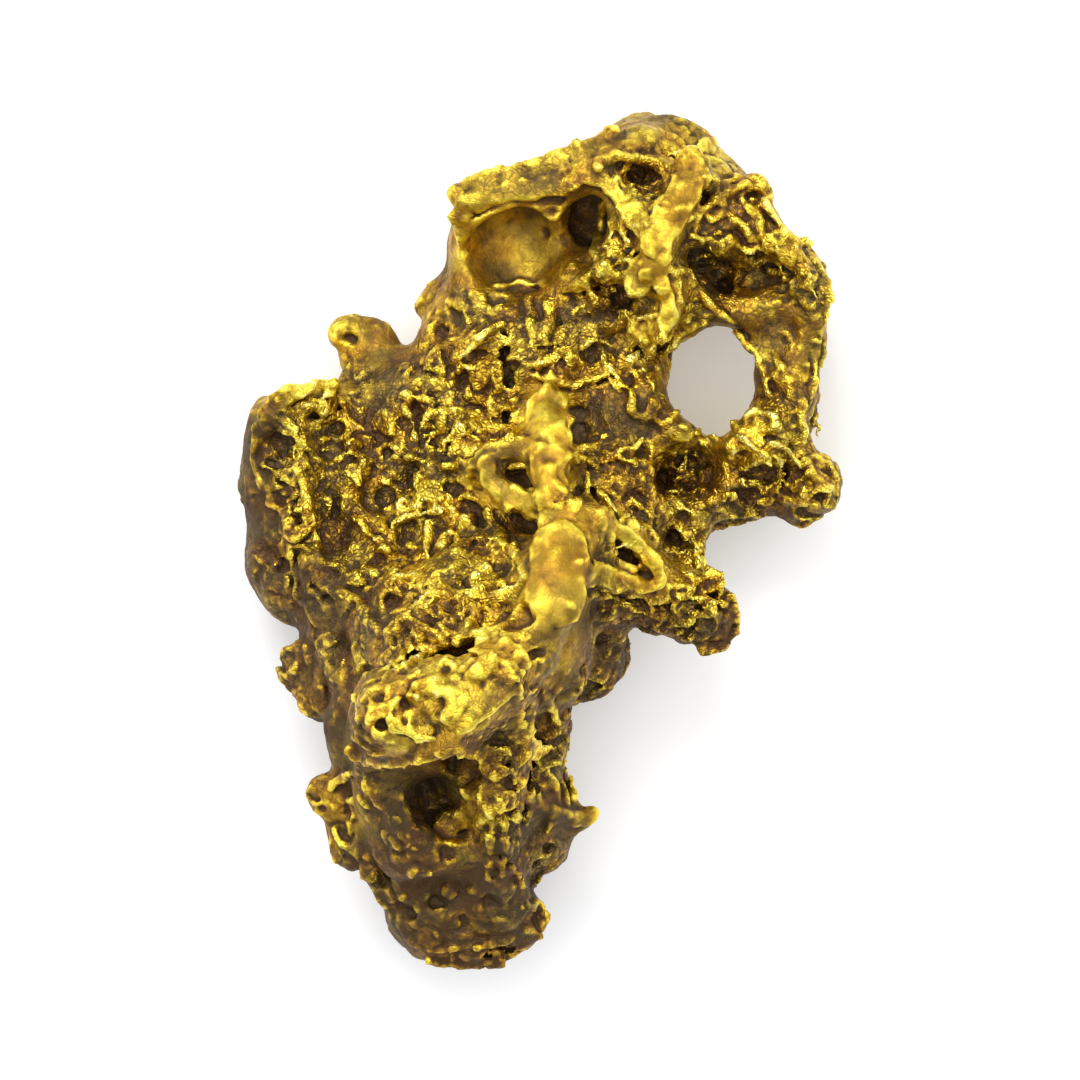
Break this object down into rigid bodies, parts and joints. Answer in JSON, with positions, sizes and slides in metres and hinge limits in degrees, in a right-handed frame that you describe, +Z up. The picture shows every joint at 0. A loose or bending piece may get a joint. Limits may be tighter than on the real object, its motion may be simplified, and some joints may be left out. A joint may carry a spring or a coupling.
{
  "type": "gold nugget",
  "caption": "Rough elongated nugget of natural gold with a worn ridge, an open cave, deep pits and a hole right through beside its head.",
  "frame": {"origin": "on the surface the nugget rests on, below the centre of its outline", "axes": "+Z up out of its upper face, +Y along its length towards the head with the hole, +X towards the side arm"},
  "size_m": [0.0152, 0.0216, 0.0096],
  "materials": {
    "gold": "worn bright on its ridges, dull and grainy in its pits"
  },
  "bodies": {
    "root": {"nugget": "gold"}
  },
  "joints": []
}
